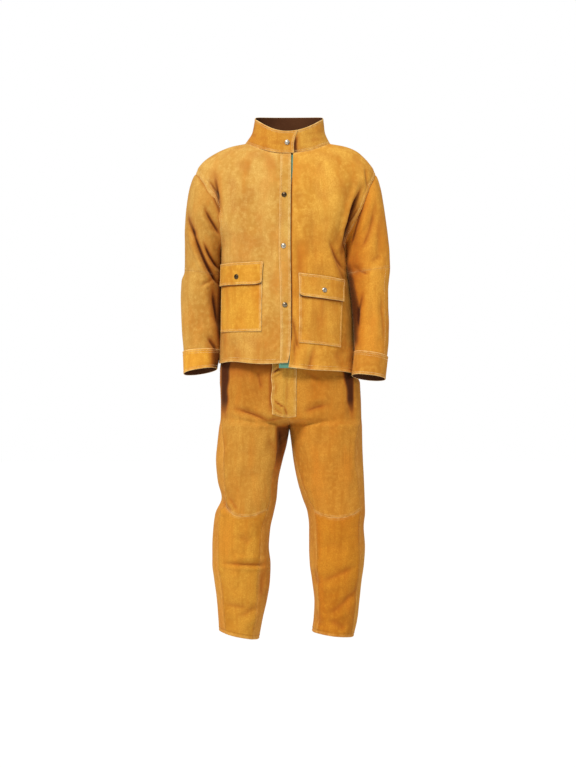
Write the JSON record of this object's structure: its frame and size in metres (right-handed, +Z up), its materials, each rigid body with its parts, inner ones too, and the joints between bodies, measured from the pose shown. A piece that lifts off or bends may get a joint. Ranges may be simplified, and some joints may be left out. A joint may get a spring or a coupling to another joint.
{
  "type": "welding suit",
  "caption": "Two-piece split-leather welding suit, hanging as worn: snap-front jacket with stand collar, cuffs and flap pockets, over straight trousers with sewn-on knee-to-hem fronts.",
  "frame": {"origin": "middle of the neck opening at the height of the top of the shoulders, where the suit hangs", "axes": "+Z up along the suit, front facing -Y, the suit's own left side towards +X"},
  "size_m": [0.6268, 0.293, 1.5732],
  "materials": {
    "jacket_leather": "golden split cowhide, napped matte suede face, paler rubbed edges",
    "trouser_leather": "golden brown split cowhide, napped matte suede face, paler rubbed edges",
    "underlap_cotton": "green flame-retardant cotton, plain weave",
    "snap_metal": "aged nickel plate on brass, satin"
  },
  "bodies": {
    "root": {"jacket_back": "jacket_leather", "jacket_front_right": "jacket_leather", "jacket_front_left": "jacket_leather", "collar": "jacket_leather", "front_placket": "jacket_leather", "sleeve_upper_right": "jacket_leather", "sleeve_upper_left": "jacket_leather", "sleeve_lower_right": "jacket_leather", "sleeve_lower_left": "jacket_leather", "cuff_right": "jacket_leather", "cuff_left": "jacket_leather", "pocket_right": "jacket_leather", "pocket_left": "jacket_leather", "pocket_flap_right": "jacket_leather", "pocket_flap_left": "jacket_leather", "trouser_front_upper_right": "trouser_leather", "trouser_front_upper_left": "trouser_leather", "trouser_front_lower_right": "trouser_leather", "trouser_front_lower_left": "trouser_leather", "trouser_back_right": "trouser_leather", "trouser_back_left": "trouser_leather", "waistband": "trouser_leather", "fly_flap": "trouser_leather", "front_underlap": "underlap_cotton", "snap_collar": "snap_metal", "snap_front_1": "snap_metal", "snap_front_2": "snap_metal", "snap_front_3": "snap_metal", "snap_pocket_right": "snap_metal", "snap_pocket_left": "snap_metal"}
  },
  "joints": []
}
